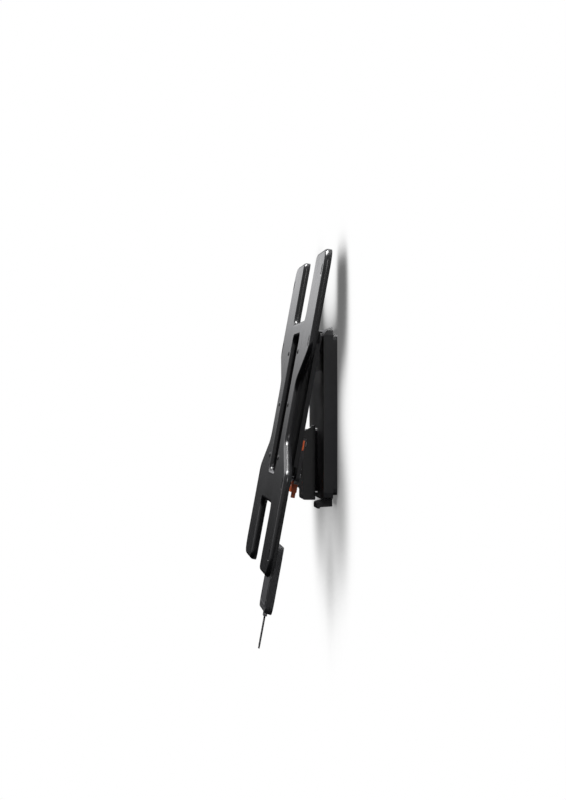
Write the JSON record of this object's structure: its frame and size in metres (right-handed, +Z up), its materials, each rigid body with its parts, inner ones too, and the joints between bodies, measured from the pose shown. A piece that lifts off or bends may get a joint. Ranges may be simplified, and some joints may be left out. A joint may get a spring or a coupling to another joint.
{
  "type": "full motion tv wall mount",
  "caption": "Slim folding-arm TV wall mount: covered wall plate, two-link arm, tilting head with pull-strap lock, and an H-shaped screen plate.",
  "frame": {"origin": "middle of the mount on the wall face of the wall plate", "axes": "+Z up, +Y into the wall, +X to the side away from the folded arms"},
  "size_m": [0.484, 0.1126, 0.5787],
  "materials": {
    "black_steel": "fine-grained black powder coat on sheet steel",
    "bright_steel": "zinc-plated steel, satin",
    "black_cast": "semi-gloss black paint on cast aluminium",
    "matte_plastic": "fine-textured black moulded plastic",
    "gloss_plastic": "polished black moulded plastic",
    "grey_plastic": "dark grey moulded plastic",
    "orange_plastic": "orange moulded plastic",
    "bush_plastic": "natural acetal",
    "webbing": "woven black webbing"
  },
  "bodies": {
    "wall": {"wall_plate": "black_steel", "rear_frame": "matte_plastic", "wall_cover": "matte_plastic", "cover_release_tab": "matte_plastic", "shoulder_bracket": "black_steel", "shoulder_pin": "bright_steel", "wall_screw_1": "bright_steel", "wall_screw_2": "bright_steel", "wall_screw_3": "bright_steel", "wall_screw_4": "bright_steel"},
    "base_arm": {"base_arm": "black_cast", "base_cable_cover": "matte_plastic", "shoulder_bush_lower": "bush_plastic", "shoulder_bush_upper": "bush_plastic", "elbow_pin": "bright_steel", "elbow_cap_lower": "gloss_plastic", "elbow_cap_upper": "gloss_plastic"},
    "forearm": {"forearm": "black_cast", "forearm_cable_cover": "matte_plastic", "elbow_bush_lower": "bush_plastic", "elbow_bush_upper": "bush_plastic", "head_bush_lower": "bush_plastic", "head_bush_upper": "bush_plastic"},
    "head": {"head_yoke": "gloss_plastic", "head_pin": "bright_steel", "tilt_pin": "bright_steel", "tilt_nut": "bright_steel", "tilt_washer_near": "bush_plastic", "tilt_washer_far": "bush_plastic"},
    "tilt_head": {"head_plate": "black_steel", "lock_housing_near": "matte_plastic", "lock_housing_far": "matte_plastic", "lock_spring": "bright_steel"},
    "release": {"lock_slider": "orange_plastic", "latch_hook_near": "bright_steel", "latch_hook_far": "bright_steel", "release_rod": "bright_steel", "release_handle": "grey_plastic", "strap_clip": "bright_steel", "pull_strap": "webbing"},
    "screen": {"screen_plate": "black_steel", "hook_bracket_near": "black_steel", "hook_bracket_far": "black_steel", "lock_bar": "bright_steel"}
  },
  "joints": [
    {"name": "shoulder_hinge", "type": "hinge", "parent": "wall", "child": "base_arm", "pos_m": [0, -0.0155, -0.072], "axis": [0, 0, 1], "range_deg": [0, 80]},
    {"name": "elbow_hinge", "type": "hinge", "parent": "base_arm", "child": "forearm", "pos_m": [-0.26, -0.024, -0.072], "axis": [0, 0, 1], "range_deg": [-161, 0.5]},
    {"name": "head_hinge", "type": "hinge", "parent": "forearm", "child": "head", "pos_m": [0, -0.0325, -0.072], "axis": [0, 0, 1], "range_deg": [-0.5, 80.5]},
    {"name": "tilt", "type": "hinge", "parent": "head", "child": "tilt_head", "pos_m": [0, -0.047, -0.066], "axis": [1, 0, 0], "range_deg": [0, 10.5]},
    {"name": "release_pull", "type": "slide", "parent": "tilt_head", "child": "release", "axis": [0, -0.1822, -0.9833], "range_m": [0, 0.012], "stiffness_N_per_m": 600, "deforming": ["lock_spring"]},
    {"name": "screen_lift", "type": "slide", "parent": "tilt_head", "child": "screen", "axis": [0, 0.1822, 0.9833], "range_m": [0, 0.04]}
  ],
  "couplings": [
    {"joint": "elbow_hinge", "follows": "shoulder_hinge", "ratio": -2},
    {"joint": "head_hinge", "follows": "shoulder_hinge", "ratio": 1}
  ]
}
